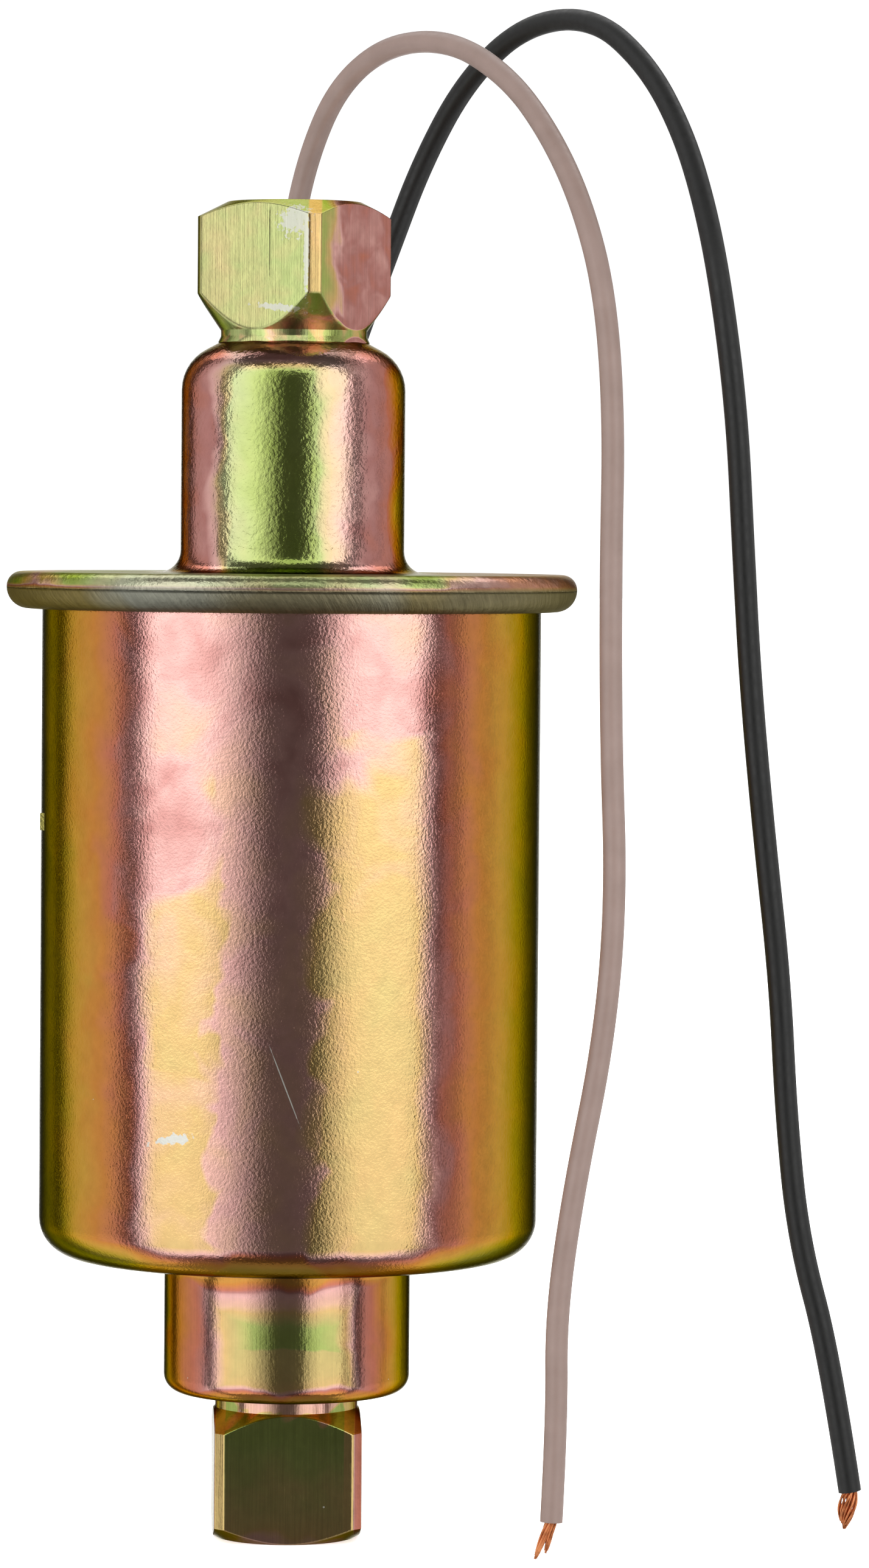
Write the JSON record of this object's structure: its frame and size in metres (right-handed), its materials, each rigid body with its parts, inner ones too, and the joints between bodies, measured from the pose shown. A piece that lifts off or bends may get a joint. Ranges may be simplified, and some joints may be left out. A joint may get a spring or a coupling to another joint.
{
  "type": "electric fuel pump",
  "caption": "Cylindrical in-line electric fuel pump with a plated steel can, domed cover, square pipe-thread port fittings and loose wire leads.",
  "frame": {"origin": "middle of the can on its axis, where a clamp holds it", "axes": "+Z along the pump axis towards the outlet and the wire end, +Y towards the side where the leads leave the cover"},
  "size_m": [0.0924, 0.0618, 0.1663],
  "materials": {
    "plated_steel": "yellow zinc dichromate plating with an iridescent sheen, lightly worn",
    "plated_fitting": "yellow zinc dichromate plating over turned and drawn bar",
    "bare_steel": "plain machined steel",
    "tube_brass": "drawn brass",
    "gasket_cork": "cork and rubber sheet",
    "seal_rubber": "fuel resistant rubber",
    "grommet_rubber": "black rubber",
    "white_nylon": "natural nylon",
    "winding_copper": "enamelled copper wire",
    "winding_tape": "polyester tape",
    "board_laminate": "glass fibre laminate",
    "moulded_black": "moulded epoxy",
    "resistor_tan": "lacquered",
    "capacitor_blue": "plastic sleeve over an aluminium can",
    "lead_gray": "satin vinyl insulation",
    "lead_black": "satin vinyl insulation",
    "bare_copper": "bare copper strands",
    "magnet_ferrite": "sintered ferrite"
  },
  "bodies": {
    "housing": {"black_lead": "lead_black", "black_strands": "bare_copper", "board_resistors": "resistor_tan", "board_standoffs": "white_nylon", "bumper": "seal_rubber", "bumper_cup": "tube_brass", "can_shell": "plated_steel", "circuit_board": "board_laminate", "clamp_diodes": "moulded_black", "coil_bobbin": "white_nylon", "coil_tails": "winding_copper", "coil_tape": "winding_tape", "cover_dome": "plated_steel", "cover_retainer": "bare_steel", "drive_winding": "winding_copper", "filter_gasket": "gasket_cork", "filter_magnet": "magnet_ferrite", "filter_mesh": "bare_steel", "filter_ring": "white_nylon", "flux_sleeve": "bare_steel", "foot_valve_cage": "tube_brass", "foot_valve_seat": "tube_brass", "foot_valve_spring": "bare_steel", "gray_lead": "lead_gray", "gray_strands": "bare_copper", "inlet_cup": "plated_steel", "inlet_fitting": "plated_fitting", "inner_leads": "bare_copper", "lower_o_ring": "seal_rubber", "lower_pole_plate": "bare_steel", "lower_spacer": "white_nylon", "outlet_fitting": "plated_fitting", "plunger_spring": "bare_steel", "pump_tube": "tube_brass", "rim_gasket": "gasket_cork", "sense_winding": "winding_copper", "spacer_tube": "white_nylon", "switching_transistor": "moulded_black", "terminal_posts": "tube_brass", "timing_capacitor": "capacitor_blue", "top_cover": "plated_steel", "upper_o_ring": "seal_rubber", "upper_pole_plate": "bare_steel", "wire_grommet": "grommet_rubber"},
    "plunger": {"plunger": "bare_steel", "delivery_valve_ring": "tube_brass", "delivery_valve_spring": "bare_steel"},
    "foot_valve": {"foot_valve_disc": "seal_rubber"},
    "delivery_valve": {"delivery_valve_disc": "seal_rubber"}
  },
  "joints": [
    {"name": "plunger_travel", "type": "slide", "parent": "housing", "child": "plunger", "axis": [0, 0, 1], "range_m": [-0.009, 0], "stiffness_N_per_m": 500, "springref_m": 0.01, "deforming": ["plunger_spring"]},
    {"name": "foot_valve_lift", "type": "slide", "parent": "housing", "child": "foot_valve", "axis": [0, 0, 1], "range_m": [0, 0.0016], "stiffness_N_per_m": 40, "springref_m": -0.002, "deforming": ["foot_valve_spring"]},
    {"name": "delivery_valve_lift", "type": "slide", "parent": "plunger", "child": "delivery_valve", "axis": [0, 0, 1], "range_m": [0, 0.0015], "stiffness_N_per_m": 40, "springref_m": -0.002, "deforming": ["delivery_valve_spring"]}
  ]
}
